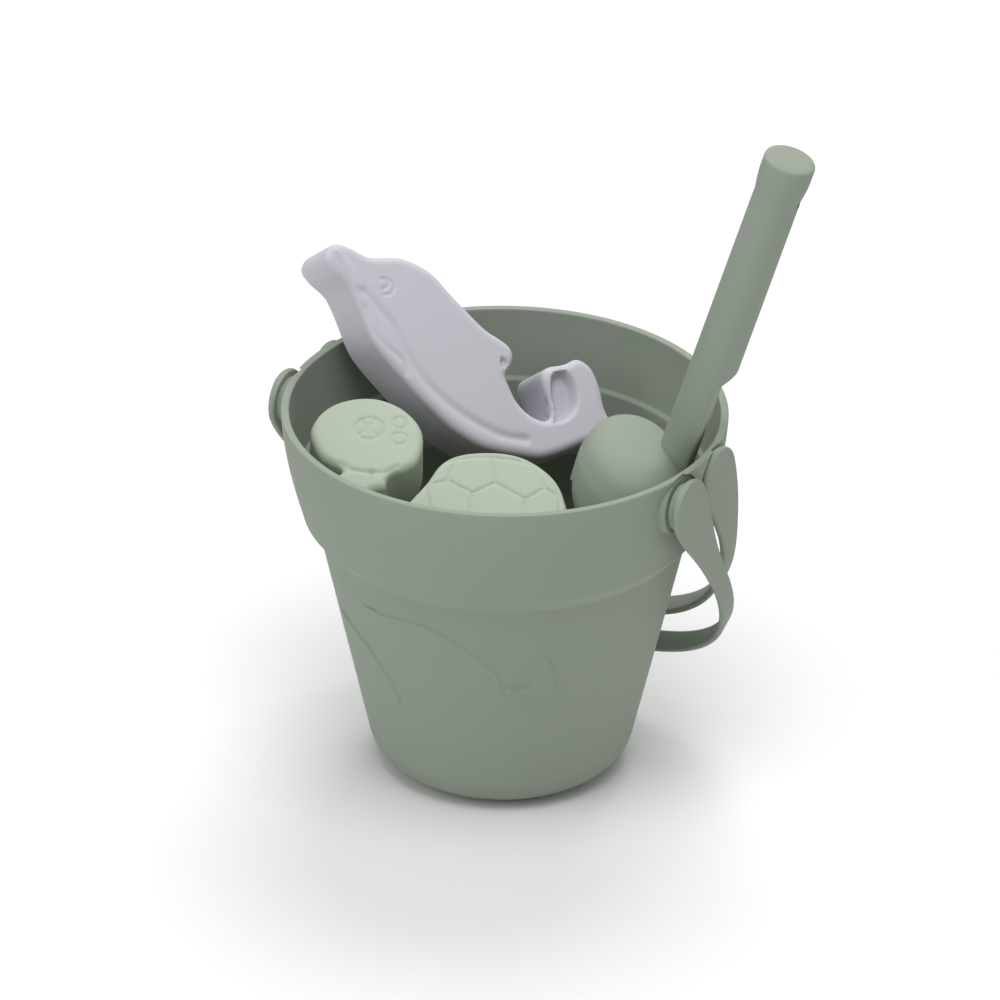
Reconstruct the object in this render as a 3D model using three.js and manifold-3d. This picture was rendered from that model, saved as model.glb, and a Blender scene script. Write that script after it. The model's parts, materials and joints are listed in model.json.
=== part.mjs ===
// A soft moulded beach bucket with two strap handles, a spade and four sand moulds.
// Millimetres, +Z up. The origin is the middle of the flat underside, +X runs along the
// handles' pivots and +Y points to the side where both handles hang down.
import * as THREE from 'three';
import { mergeVertices } from 'three/addons/utils/BufferGeometryUtils.js';
import Module from 'manifold-3d';

// ---- driving dimensions: bucket ----
const rimHeight = 147;
const rimRadius = 84;
const wall = 3;
const baseRadius = 46.9;        // where the side line meets the floor, before the round corner
const baseCorner = 18;
const floorThickness = 4;
const bandHeight = 40;          // plain upper band, from the rim down to the step
const bandTaper = 8;            // how much narrower the band is at its lower edge
const stepHeight = 10;
const stepDepth = 6.7;
const ledgeDrop = 26.5;         // inside ledge, below the rim
const ledgeWidth = 2;

// ---- driving dimensions: handles ----
const pivotDrop = 12;           // pivots below the rim
const eyeSpace = 5;             // between the two eyes on one side
const studRadius = 5;
const studClearance = 0.35;
const socketShare = 0.43;       // blind socket's depth as a share of the wall
const bossRadius = 11;
const bossSetBack = 0.7;        // boss face, in from the band's widest point beside it
const bossDepth = 7;
const spacerRadius = 9;         // round spacer that stands the front strap off its boss
const strapThickness = 2.6;
const strapGap = 0.4;           // between moving faces
const strapSquareness = 2.2;    // 2 is a round U, and more is squarer
const eyeRadius = 11.5;
const gripHalfWidth = 4.6;
const eyeTaper = 26;            // length over which the eye narrows to the grip
const frontReach = 131;
const frontStraight = 46;       // straight part of each leg
const frontBow = 14;            // how far the strap's middle bends up out of its plane
const frontRest = 3;           // hanging strap's lower edge to the wall
const backReach = 108;
const backStraight = 12;
const backBow = 16;
const backRest = 4;

// ---- driving dimensions: spade ----
const gripRadius = 9;
const gripLength = 137.5;
const gripFlare = 0.9;
const neckLength = 37;          // flat-backed part between the scoop and the round grip
const neckBack = 4.5;           // axis to the flat back
const scoopWidth = 56;
const scoopDepth = 40;
const scoopLength = 92;
const scoopWall = 2.5;
const scoopTurn = 22;           // the scoop faces this much to the side of the lean
const holeRadius = 2.2;
const holeDrop = 16;            // hanging hole, below the end of the grip
const spadeLean = 17;
const spadeSide = 12;           // degrees round from the pivots' axis
const spadeInset = 11.8;        // scoop's top, in from the inside of the rim
const spadeDrop = 8;

// ---- driving dimensions: moulds ----
const mouldWall = 2.4;
const mouldRound = 3;
const dolphinHeight = 26;
const octopusHeight = 20;
const turtleHeight = 18;
const starHeight = 15;
const starReach = 24;
const mouldSize = 1;            // plan size of the moulds

// ---- worked out from the driving dimensions ----
const bodyTop = rimHeight - bandHeight - stepHeight;
const bandFoot = rimRadius - bandTaper;
const bodyTopRadius = bandFoot - stepDepth;
const sideSlope = (bodyTopRadius - baseRadius) / bodyTop;
const pivotZ = rimHeight - pivotDrop;
const pivotSpread = eyeRadius + eyeSpace / 2;
const insideRadius = rimRadius - wall;
const radians = THREE.MathUtils.degToRad;

const wasm = await Module();
wasm.setup();

// ---- helpers ----

// Turns a closed three.js geometry into a manifold solid.
function solid(geometry) {
  const plain = geometry.clone();
  plain.deleteAttribute('normal');
  plain.deleteAttribute('uv');
  const merged = mergeVertices(plain, 1e-4);
  const mesh = new wasm.Mesh({
    numProp: 3,
    vertProperties: new Float32Array(merged.attributes.position.array),
    triVerts: new Uint32Array(merged.index.array),
  });
  return new wasm.Manifold(mesh);
}

// Turns a manifold solid back into a three.js geometry.
function geometryOf(body) {
  const mesh = body.getMesh();
  const geometry = new THREE.BufferGeometry();
  geometry.setAttribute('position', new THREE.BufferAttribute(mesh.vertProperties, 3));
  geometry.setIndex(new THREE.BufferAttribute(mesh.triVerts, 1));
  geometry.computeVertexNormals();
  return geometry;
}

// A solid of revolution about +Z from [radius, height] points that start and end on the axis.
function turned(profile, segments) {
  const points = profile.map(([radius, height]) => new THREE.Vector2(radius, height));
  return new THREE.LatheGeometry(points, segments).rotateX(Math.PI / 2);
}

// A round bar along X between two x values.
function barX(radius, from, to, y, z, segments = 32) {
  const bar = new THREE.CylinderGeometry(radius, radius, Math.abs(to - from), segments);
  bar.rotateZ(Math.PI / 2);
  bar.translate((from + to) / 2, y, z);
  return solid(bar);
}

// A box between two corners.
function block(low, high) {
  const size = high.map((value, axis) => value - low[axis]);
  const box = new THREE.BoxGeometry(...size);
  box.translate(...high.map((value, axis) => (value + low[axis]) / 2));
  return solid(box);
}

// Even points along a smooth curve through the given [x, y] points.
function smooth(points, count, closed = false) {
  const ends = points.map(([x, y]) => new THREE.Vector3(x, y, 0));
  const curve = new THREE.CatmullRomCurve3(ends, closed, 'centripetal');
  return curve.getSpacedPoints(count).slice(0, closed ? count : count + 1);
}

// The curve's points moved sideways by a distance, to the left of its direction.
function beside(points, distance, closed = false) {
  return points.map((point, index) => {
    const last = points.length - 1;
    const before = points[closed ? (index + last) % points.length : Math.max(index - 1, 0)];
    const after = points[closed ? (index + 1) % points.length : Math.min(index + 1, last)];
    const along = after.clone().sub(before).normalize();
    return new THREE.Vector3(point.x - along.y * distance, point.y + along.x * distance, 0);
  });
}

// A closed outline made smaller by a distance all round.
function inset(points, distance) {
  const clearOf = (spot) => points.every((point) => point.distanceTo(spot) > distance * 0.97);
  return beside(points, distance, true).filter(clearOf);
}

function shapeOf(points) {
  return new THREE.Shape(points.map((point) => new THREE.Vector2(point.x, point.y)));
}

function pull(points, from, to) {
  const settings = { depth: to - from, bevelEnabled: false, curveSegments: 8 };
  return solid(new THREE.ExtrudeGeometry(shapeOf(points), settings).translate(0, 0, from));
}

function finish(name, body, colour, roughness) {
  const material = new THREE.MeshStandardMaterial({ color: colour, roughness, metalness: 0 });
  const mesh = new THREE.Mesh(geometryOf(body), material);
  mesh.name = name;
  return mesh;
}

// ---- bucket ----

// Outside of the bucket's wall, from the floor up: round corner, straight side, step, band.
function outsideProfile(inward) {
  const lean = Math.atan(sideSlope);
  const corner = baseCorner - inward;
  const centreZ = baseCorner;
  const tangentX = baseRadius + sideSlope * centreZ - baseCorner / Math.cos(lean);
  const points = [];
  for (let step = 0; step <= 10; step += 1) {
    const angle = -Math.PI / 2 + (step / 10) * (Math.PI / 2 - lean);
    points.push([tangentX + corner * Math.cos(angle), centreZ + corner * Math.sin(angle)]);
  }
  points.push([bodyTopRadius - inward, bodyTop]);
  for (let step = 1; step <= 5; step += 1) {
    const share = step / 6;
    const ease = share * share * (3 - 2 * share);
    points.push([bodyTopRadius + stepDepth * ease - inward, bodyTop + stepHeight * share]);
  }
  return points;
}

// Radius of the band's outside at a depth below the rim: upright at the rim, leaning in below.
function bandRadius(depth) {
  return rimRadius - bandTaper * Math.pow(depth / bandHeight, 1.6);
}

function makeBucket() {
  const rimRound = 1.2;
  const outer = [[0, 0], ...outsideProfile(0)];
  for (let step = 0; step <= 6; step += 1) {
    const depth = bandHeight * (1 - step / 6);
    outer.push([bandRadius(Math.max(depth, rimRound)), rimHeight - Math.max(depth, rimRound)]);
  }
  outer.push([rimRadius - rimRound * 0.3, rimHeight - rimRound * 0.3]);
  outer.push([rimRadius - rimRound, rimHeight]);
  outer.push([0, rimHeight]);

  const aboveFloor = outsideProfile(wall).filter(([, height]) => height > floorThickness);
  const inner = [[0, floorThickness], ...aboveFloor];
  const ledgeZ = rimHeight - ledgeDrop;
  const ledgeRadius = bandRadius(ledgeDrop) - wall;
  inner.push([bandRadius(bandHeight) - wall, rimHeight - bandHeight + 2]);
  inner.push([ledgeRadius - ledgeWidth, ledgeZ - 1]);
  inner.push([ledgeRadius, ledgeZ]);
  for (let step = 1; step <= 3; step += 1) {
    const depth = ledgeDrop * (1 - step / 3);
    inner.push([bandRadius(depth) - wall, rimHeight - depth]);
  }
  inner.push([rimRadius - wall, rimHeight + 1]);
  inner.push([0, rimHeight + 1]);

  const segments = 80;
  let body = solid(turned(outer, segments));
  for (const side of [-1, 1]) {
    for (const y of [-pivotSpread, pivotSpread]) {
      const recess = eyeRadius + 1;
      body = body.add(barX(bossRadius, side * bossFrom, side * bossFace, y, pivotZ, 40));
      body = body.subtract(barX(recess, side * bossFace, side * (bossFace + 9), y, pivotZ, 40));
    }
  }
  body = body.subtract(solid(turned(inner, segments)));
  for (const side of [-1, 1]) {
    for (const y of [-pivotSpread, pivotSpread]) {
      const bore = studRadius + studClearance;
      body = body.subtract(barX(bore, side * socketEnd, side * (bossFace + 5), y, pivotZ));
    }
  }
  return finish('bucket', body, 0x8f9a8b, 0.62);
}

// Faces along X at each pivot, from the bucket's wall outwards.
const wallAtPivot = bandRadius(pivotDrop);
const bossFace = wallAtPivot - bossSetBack;
const bossFrom = bossFace - bossDepth;
const socketEnd = bossFace - wall * socketShare;
const backEyeInner = bossFace + strapGap;
const frontEyeInner = backEyeInner + strapThickness + strapGap;

// ---- handles ----

// The wall's outside radius at a height, without the round corner at the floor.
function wallRadius(height) {
  return height < bodyTop ? baseRadius + sideSlope * height : bandFoot;
}

// Angle below level at which a hanging strap's lower inside edge is its rest gap off the wall.
function restingAngle(pivotY, reach, bow, restGap) {
  let low = radians(30);
  let high = radians(89);
  const out = reach - strapThickness / 2;
  const edge = bow - gripHalfWidth;
  for (let step = 0; step < 40; step += 1) {
    const angle = (low + high) / 2;
    const inner = pivotY + out * Math.cos(angle) + edge * Math.sin(angle);
    const height = pivotZ - out * Math.sin(angle) + edge * Math.cos(angle);
    if (inner > wallRadius(height) + restGap) {
      low = angle;
    } else {
      high = angle;
    }
  }
  return low;
}

// The strap's middle line drawn flat: two straight legs and a squarish half oval.
function strapLine(middle, reach, straight) {
  const points = [new THREE.Vector3(middle, -eyeRadius, 0), new THREE.Vector3(middle, 0, 0)];
  const steps = 56;
  for (let step = 0; step <= steps; step += 1) {
    const turn = (Math.PI * step) / steps;
    const across = Math.sign(Math.cos(turn)) * Math.abs(Math.cos(turn)) ** (2 / strapSquareness);
    const out = straight + (reach - straight) * Math.sin(turn);
    points.push(new THREE.Vector3(middle * across, out, 0));
  }
  points.push(new THREE.Vector3(-middle, 0, 0), new THREE.Vector3(-middle, -eyeRadius, 0));
  return points;
}

// A strap handle drawn flat: X across the bucket, Y the reach, Z out of its plane.
// Its edge shape is a band along a U, cut to the width that a side view shows.
function makeStrap(name, eyeInner, reach, straight, bow) {
  const centre = strapLine(eyeInner + strapThickness / 2, reach, straight);
  const outside = beside(centre, -strapThickness / 2);
  const inside = beside(centre, strapThickness / 2).reverse();
  const band = pull([...outside, ...inside], -60, 60);

  const upper = [];
  const lower = [];
  for (let step = 0; step <= 24; step += 1) {
    const along = (reach + 8) * (step / 24);
    const middle = bow * (along / reach) ** 2;
    const half = gripHalfWidth + (eyeRadius - gripHalfWidth) * Math.exp(-((along / eyeTaper) ** 2));
    upper.push(new THREE.Vector3(along, middle + half, 0));
    lower.push(new THREE.Vector3(along, middle - half, 0));
  }
  const eye = [];
  for (let step = 1; step < 12; step += 1) {
    const angle = Math.PI / 2 + (Math.PI * step) / 12;
    eye.push(new THREE.Vector3(eyeRadius * Math.cos(angle), eyeRadius * Math.sin(angle), 0));
  }
  const sideView = [...lower, ...upper.reverse(), ...eye];
  const cutter = new THREE.ExtrudeGeometry(shapeOf(sideView), { depth: 240, bevelEnabled: false });
  cutter.translate(0, 0, -120);
  const across = new THREE.Vector3(0, 1, 0);
  const outOfPlane = new THREE.Vector3(0, 0, 1);
  const sideways = new THREE.Vector3(1, 0, 0);
  cutter.applyMatrix4(new THREE.Matrix4().makeBasis(across, outOfPlane, sideways));
  let body = band.intersect(solid(cutter));

  const intoEye = eyeInner + strapThickness / 2;
  for (const side of [-1, 1]) {
    body = body.add(barX(studRadius, side * (socketEnd + strapGap), side * intoEye, 0, 0));
    if (eyeInner > backEyeInner) {
      body = body.add(barX(spacerRadius, side * backEyeInner, side * intoEye, 0, 0));
    }
  }
  return finish(name, body, 0x8f9a8b, 0.6);
}

function makeFrontHandle() {
  const mesh = makeStrap('front_handle', frontEyeInner, frontReach, frontStraight, frontBow);
  mesh.position.set(0, -pivotSpread, pivotZ);
  mesh.rotation.x = -restingAngle(-pivotSpread, frontReach, frontBow, frontRest);
  return mesh;
}

function makeBackHandle() {
  const mesh = makeStrap('back_handle', backEyeInner, backReach, backStraight, backBow);
  mesh.position.set(0, pivotSpread, pivotZ);
  mesh.rotation.x = -restingAngle(pivotSpread, backReach, backBow, backRest);
  return mesh;
}

// A place beside the inside of the rim, by its distance in from it and its degrees round from +X.
function fromWall(distance, around) {
  const out = insideRadius - distance;
  return [out * Math.cos(radians(around)), out * Math.sin(radians(around))];
}

// ---- spade ----

// Drawn upright: Z up the grip from the scoop's top, X towards the rim it leans on.
function makeSpade() {
  const end = gripRadius + gripFlare;
  const grip = [
    [0, -6],
    [gripRadius, -6],
    [gripRadius, gripLength - 14],
    [end, gripLength - 9],
    [end, gripLength - 2],
    [end - 0.8, gripLength - 0.5],
    [end - 2.2, gripLength],
    [0, gripLength],
  ];
  let handle = solid(turned(grip, 36));
  handle = handle.subtract(block([neckBack, -20, -20], [neckBack + 20, 20, neckLength - 6]));
  handle = handle.subtract(barX(holeRadius, -20, 20, 0, gripLength - holeDrop, 16));

  const half = scoopWidth / 2;
  const ring = (grow) => [
    [0, -scoopLength - grow],
    [half * 0.45 + grow, -scoopLength + 2 - grow],
    [half * 0.72 + grow, -scoopLength * 0.9],
    [half * 0.88 + grow, -scoopLength * 0.6],
    [half + grow, -18],
    [half * 0.98 + grow, -9],
    [half * 0.88 + grow * 0.8, -2.5 + grow * 0.4],
    [half * 0.6, 2.4 + grow],
    [0, 4 + grow],
  ];
  const squash = scoopDepth / scoopWidth;
  const centreX = neckBack - scoopDepth / 2 - 1;
  const shape = (grow) => solid(turned(ring(grow), 56).scale(squash, 1, 1).translate(centreX, 0, 0));
  let scoop = shape(0).subtract(shape(-scoopWall));
  const front = centreX - scoopDepth * 0.12;
  scoop = scoop.subtract(block([front - 60, -60, -scoopLength - 10], [front, 60, -20]));
  scoop = solid(geometryOf(scoop).rotateZ(radians(scoopTurn)));
  handle = handle.subtract(solid(geometryOf(shape(-scoopWall)).rotateZ(radians(scoopTurn))));

  const mesh = finish('spade', handle.add(scoop), 0x8d988a, 0.6);
  const [x, y] = fromWall(spadeInset, spadeSide);
  mesh.position.set(x, y, rimHeight - spadeDrop);
  mesh.rotation.set(0, radians(spadeLean), radians(spadeSide), 'ZYX');
  return mesh;
}

// ---- sand moulds ----

// A hollow mould, open at its back (z = 0): a smooth outline pulled up to the face, which is
// rounded over at the edge.
function makeMould(name, outline, height, colour) {
  const points = smooth(outline.map(([x, y]) => [x * mouldSize, y * mouldSize]), 72, true);
  let outside = pull(points, 0, height - mouldRound);
  for (const angle of [30, 60, 80]) {
    const inwards = mouldRound * (1 - Math.cos(radians(angle)));
    const top = height - mouldRound * (1 - Math.sin(radians(angle)));
    outside = outside.add(pull(inset(points, inwards), 0, top));
  }
  const hollow = pull(inset(points, mouldWall), -1, height - mouldWall);
  return finish(name, outside.subtract(hollow), colour, 0.58);
}

// Places a mould beside the inside of the rim and below it, with three turns: about Z, then its
// own Y, then its own X.
function settle(mesh, distance, around, drop, turn, pitch, roll) {
  const [x, y] = fromWall(distance, around);
  mesh.position.set(x, y, rimHeight - drop);
  mesh.rotation.set(radians(roll), radians(pitch), radians(turn), 'ZYX');
  return mesh;
}

function makeDolphin() {
  const outline = [
    [-71, 0], [-68, -4], [-58, -6], [-49, -13], [-38, -21], [-22, -27], [-4, -31], [16, -33],
    [34, -27], [47, -18], [57, -8], [68, 2], [62, 6], [50, 12], [40, 20], [33, 16], [27, 7],
    [33, 0], [37, -8], [27, -11], [17, -6], [11, 2], [10, 9], [0, 8], [-20, 14], [-34, 16],
    [-45, 14], [-54, 8], [-64, 6],
  ];
  const mesh = makeMould('dolphin_mould', outline, dolphinHeight, 0xc7c6cc);
  return settle(mesh, 23.0, 136.4, 11.0, 26, 33.8, 43);
}

function makeOctopus() {
  const outline = [
    [-21, 1], [-17, 13], [-6, 19], [7, 19], [17, 11], [21, -1], [18, -12], [11, -17], [8, -20],
    [7, -25], [2, -26], [-3, -30], [-9, -27], [-14, -26], [-13, -20], [-8, -16], [-17, -10],
  ];
  const mesh = makeMould('octopus_mould', outline, octopusHeight, 0xaab3a4);
  return settle(mesh, 29.2, -149.1, 25.5, 29, 0, 21);
}

function makeTurtle() {
  const outline = [
    [-17, -2], [-8, 5], [6, 6], [19, 0], [28, -11], [30, -24], [22, -36], [8, -43], [-8, -43],
    [-20, -36], [-26, -27], [-30, -26], [-31, -21], [-24, -12],
  ];
  const mesh = makeMould('turtle_mould', outline, turtleHeight, 0xaab3a4);
  return settle(mesh, 65.0, -86.4, 28, 29, 0, 24);
}

function makeStar() {
  const outline = [];
  for (let point = 0; point < 10; point += 1) {
    const reach = starReach * (point % 2 === 0 ? 1 : 0.55);
    const angle = (point / 10) * 2 * Math.PI + Math.PI / 2;
    outline.push([reach * Math.cos(angle), reach * Math.sin(angle)]);
  }
  const mesh = makeMould('star_mould', outline, starHeight, 0xa9793a);
  return settle(mesh, 76.0, 36.9, 60, 8, 0, 80);
}

const set = new THREE.Group();
set.add(makeBucket(), makeFrontHandle(), makeBackHandle(), makeSpade());
set.add(makeDolphin(), makeOctopus(), makeTurtle(), makeStar());
export default set;
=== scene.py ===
import json
import math

import bmesh
import bpy
import numpy as np
from mathutils import Euler, Matrix, Vector
from mathutils.geometry import delaunay_2d_cdt


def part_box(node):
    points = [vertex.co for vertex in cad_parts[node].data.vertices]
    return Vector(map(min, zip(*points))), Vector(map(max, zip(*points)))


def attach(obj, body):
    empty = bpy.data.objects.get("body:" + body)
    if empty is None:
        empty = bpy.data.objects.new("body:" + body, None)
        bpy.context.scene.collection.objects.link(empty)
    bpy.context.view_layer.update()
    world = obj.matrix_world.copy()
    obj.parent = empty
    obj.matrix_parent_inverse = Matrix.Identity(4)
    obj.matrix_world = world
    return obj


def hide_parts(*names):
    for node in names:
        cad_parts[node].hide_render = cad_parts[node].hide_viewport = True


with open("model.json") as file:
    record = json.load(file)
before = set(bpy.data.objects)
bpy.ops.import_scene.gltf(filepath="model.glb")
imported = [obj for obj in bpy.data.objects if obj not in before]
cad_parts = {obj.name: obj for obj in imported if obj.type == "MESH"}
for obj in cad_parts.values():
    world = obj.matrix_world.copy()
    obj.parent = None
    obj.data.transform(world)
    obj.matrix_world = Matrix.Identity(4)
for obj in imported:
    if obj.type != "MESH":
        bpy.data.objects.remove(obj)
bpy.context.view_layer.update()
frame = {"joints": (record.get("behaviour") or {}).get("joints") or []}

bl_info = {
    "name": "Beach Bucket Set",
    "version": (1, 0, 0),
    "blender": (4, 5, 0),
    "location": "3D View > Sidebar > Bucket Set",
    "description": "A soft moulded beach bucket with two strap handles, a spade and four sand moulds",
    "category": "Add Mesh",
}

MM = 0.001
RIM_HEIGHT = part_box("bucket")[1].z
RIM_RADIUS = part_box("bucket")[1].x
PIVOTS = {joint["name"]: Vector(joint["pos_m"]) for joint in frame["joints"] if joint["type"] == "hinge"}
FRONT_PIVOT = PIVOTS["front_handle_swing"]
BACK_PIVOT = PIVOTS["back_handle_swing"]


# ---- sizes and colours that a user would change ----


def length(name, default, description):
    """A length in metres, shown in the scene's own unit."""
    return bpy.props.FloatProperty(
        name=name, default=default, description=description, unit="LENGTH", precision=5
    )


def share(name, default, description):
    """A plain number, taken as a share of another size."""
    return bpy.props.FloatProperty(name=name, default=default, description=description, precision=3)


def angle(name, degrees, description):
    """An angle, given in degrees."""
    return bpy.props.FloatProperty(
        name=name, default=math.radians(degrees), description=description, unit="ROTATION"
    )


def colour(name, default, description):
    """A linear colour."""
    return bpy.props.FloatVectorProperty(
        name=name, default=default, description=description, subtype="COLOR", size=3, min=0, max=1
    )


def place(name, default, description):
    """A point in the row frame."""
    return bpy.props.FloatVectorProperty(
        name=name, default=default, description=description, subtype="TRANSLATION", size=3
    )


class BucketSizes(bpy.types.PropertyGroup):
    """The bucket's wall, step, ledge and pivot bosses."""

    rim_radius: length("Rim radius", RIM_RADIUS, "Outside radius at the rim")
    rim_height: length("Rim height", RIM_HEIGHT, "From the ground to the rim")
    wall: length("Wall", 0.003, "Wall thickness")
    floor: length("Floor", 0.004, "Floor thickness")
    base_radius: length("Base radius", 0.0469, "Where the side line meets the ground")
    base_corner: length("Base corner", 0.018, "Radius of the round corner at the floor")
    band_height: length("Band height", 0.040, "Plain upper band, from the rim to the step")
    band_taper: length("Band taper", 0.008, "How much narrower the band is at its foot")
    step_height: length("Step height", 0.010, "Height over which the wall steps in")
    step_depth: length("Step depth", 0.0067, "How far the wall steps in")
    ledge_drop: length("Ledge drop", 0.0265, "Inside ledge, below the rim")
    ledge_width: length("Ledge width", 0.002, "Width of the inside ledge")
    boss_radius: length("Boss radius", 0.011, "Round boss behind each handle eye")
    boss_set_back: length("Boss set back", 0.0007, "Boss face, in from the band's widest point")
    socket_share: share("Socket share", 0.43, "Depth of a stud's blind socket, as a share of the wall")
    relief: length("Relief", 0.0009, "Height of the low picture on the wall")


class HandleSizes(bpy.types.PropertyGroup):
    """The two strap handles and their studs."""

    thickness: length("Strap thickness", 0.0026, "Thickness of both straps")
    gap: length("Gap", 0.0004, "Clearance between moving faces")
    eye_radius: length("Eye radius", 0.0115, "Round end of the strap")
    grip_half: length("Grip half width", 0.0046, "Half the strap's width in the hand")
    taper: length("Eye taper", 0.026, "Length over which the eye narrows to the grip")
    edge: length("Edge radius", 0.0011, "Rounding of the strap's four edges")
    shank_radius: length("Shank radius", 0.005, "Stud in the bucket's socket")
    shank_clearance: length("Shank clearance", 0.00035, "Round each stud in its socket")
    spacer_radius: length("Spacer radius", 0.009, "Round spacer behind the front strap's eyes")
    front_reach: length("Front reach", 0.131, "Pivot to the far edge of the front strap")
    front_straight: length("Front straight", 0.046, "Straight part of the front strap's legs")
    front_bow: length("Front bow", 0.014, "How far the front strap bows outwards")
    front_hang: angle("Front hang", 61.72, "Angle of the front strap below level")
    back_reach: length("Back reach", 0.108, "Pivot to the far edge of the back strap")
    back_straight: length("Back straight", 0.012, "Straight part of the back strap's legs")
    back_bow: length("Back bow", 0.016, "How far the back strap bows outwards")
    back_hang: angle("Back hang", 70.922, "Angle of the back strap below level")


class SpadeSizes(bpy.types.PropertyGroup):
    """The one-piece spade."""

    grip_radius: length("Grip radius", 0.009, "Radius of the round grip")
    grip_length: length("Grip length", 0.1375, "Scoop's top to the end of the grip")
    grip_flare: length("Grip flare", 0.0009, "How much the end of the grip swells")
    neck_length: length("Neck length", 0.039, "Flat-backed part next to the scoop")
    neck_back: length("Neck back", 0.0045, "Grip's axis to the flat back")
    hole_radius: length("Hole radius", 0.0022, "Hanging hole")
    hole_drop: length("Hole drop", 0.016, "Hanging hole, from the end of the grip")
    scoop_width: length("Scoop width", 0.056, "Widest part of the scoop")
    scoop_depth: length("Scoop depth", 0.040, "Front to back of the scoop")
    scoop_length: length("Scoop length", 0.092, "Length of the scoop")
    scoop_wall: length("Scoop wall", 0.0025, "Wall of the scoop")
    scoop_turn: angle("Scoop turn", 22, "The scoop faces this much to the side")
    lean: angle("Lean", 17, "Lean towards the rim")
    side: angle("Side", 12, "Place round the rim")
    inset: length("Inset", 0.0118, "Scoop's top, in from the inside of the rim")
    drop: length("Drop", 0.008, "Scoop's top, below the rim")


class MouldSizes(bpy.types.PropertyGroup):
    """The four sand moulds and where they lie."""

    wall: length("Wall", 0.0024, "Wall of each mould")
    edge: length("Edge", 0.003, "Rounding of the face's edge")
    dolphin_height: length("Dolphin height", 0.026, "Depth of the dolphin mould")
    octopus_height: length("Octopus height", 0.020, "Depth of the octopus mould")
    turtle_height: length("Turtle height", 0.018, "Depth of the turtle mould")
    star_height: length("Star height", 0.015, "Depth of the star mould")
    star_reach: length("Star reach", 0.024, "Middle of the star to its tips")
    dolphin_place: place("Dolphin place", (-0.0420, 0.0400, RIM_HEIGHT - 0.0110), "Where it lies")
    octopus_place: place("Octopus place", (-0.04445, -0.0266, RIM_HEIGHT - 0.0255), "Where it lies")
    turtle_place: place("Turtle place", (0.0010, -0.01597, RIM_HEIGHT - 0.028), "Where it lies")
    star_place: place("Star place", (0.004, 0.003, RIM_HEIGHT - 0.060), "Where it lies")


class FinishColours(bpy.types.PropertyGroup):
    """Colours of the silicone and the floor."""

    sage: colour("Sage", (0.262, 0.305, 0.250), "Bucket, handles and spade")
    pale_sage: colour("Pale sage", (0.335, 0.375, 0.315), "Octopus and turtle")
    lilac: colour("Lilac", (0.560, 0.545, 0.590), "Dolphin")
    ochre: colour("Ochre", (0.420, 0.215, 0.060), "Star")
    floor: colour("Floor", (0.90, 0.90, 0.90), "Floor")


# ---- meshes ----


def grid_faces(rows, columns, around=False):
    """Quads between the points of a grid kept row by row; around joins the last column to the first."""
    row, column = np.meshgrid(
        np.arange(rows - 1), np.arange(columns if around else columns - 1), indexing="ij"
    )
    beside = (column + 1) % columns
    corners = (row * columns + column, row * columns + beside)
    above = ((row + 1) * columns + beside, (row + 1) * columns + column)
    return np.stack([*corners, *above], -1).reshape(-1, 4)


def new_piece(name, points, faces):
    """A mesh object at the origin from points in metres and lists of vertex numbers."""
    mesh = bpy.data.meshes.new(name)
    mesh.from_pydata(np.asarray(points).reshape(-1, 3), [], faces)
    piece = bpy.data.objects.new(name, mesh)
    bpy.context.scene.collection.objects.link(piece)
    return piece


def sew(piece, outwards=True):
    """Merges doubled points, so that seams and poles close, and turns the faces outwards."""
    bm = bmesh.new()
    bm.from_mesh(piece.data)
    bmesh.ops.remove_doubles(bm, verts=bm.verts, dist=2e-6)
    bmesh.ops.dissolve_degenerate(bm, edges=bm.edges, dist=1e-7)
    if outwards:
        bmesh.ops.recalc_face_normals(bm, faces=bm.faces)
    bm.to_mesh(piece.data)
    bm.free()
    return piece


def soften(piece, degrees=38):
    """Smooth shading, except over edges sharper than the angle."""
    piece.data.shade_smooth()
    piece.data.set_sharp_from_angle(angle=math.radians(degrees))
    return piece


def bake_modifiers(piece):
    """Replaces the piece's mesh by the mesh that its modifiers give."""
    graph = bpy.context.evaluated_depsgraph_get()
    mesh = bpy.data.meshes.new_from_object(piece.evaluated_get(graph))
    old = piece.data
    piece.modifiers.clear()
    piece.data = mesh
    bpy.data.meshes.remove(old)
    return piece


def combine(piece, other, operation, solver="EXACT"):
    """Joins another closed mesh to the piece, or cuts it away, and removes the other object."""
    cut = piece.modifiers.new("combine", "BOOLEAN")
    cut.operation = operation
    cut.solver = solver
    cut.object = other
    bake_modifiers(piece)
    mesh = other.data
    bpy.data.objects.remove(other)
    bpy.data.meshes.remove(mesh)
    return piece


def thicken(piece, wall):
    """Gives an open surface its wall, inwards."""
    shell = piece.modifiers.new("wall", "SOLIDIFY")
    shell.thickness = wall
    shell.offset = -1
    shell.use_even_offset = True
    shell.use_rim = True
    return bake_modifiers(piece)


def put(piece, location, rotation):
    """Moves the mesh itself, so that the object stays at the origin."""
    piece.data.transform(Matrix.Translation(location) @ rotation.to_matrix().to_4x4())
    return piece


def hand_over(piece, node, body, material):
    """Says which solid the piece stands for, what it rides on and what it is made of."""
    piece.data.materials.clear()
    piece.data.materials.append(material)
    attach(piece, body)
    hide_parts(node)
    return piece


# ---- lines ----


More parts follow.
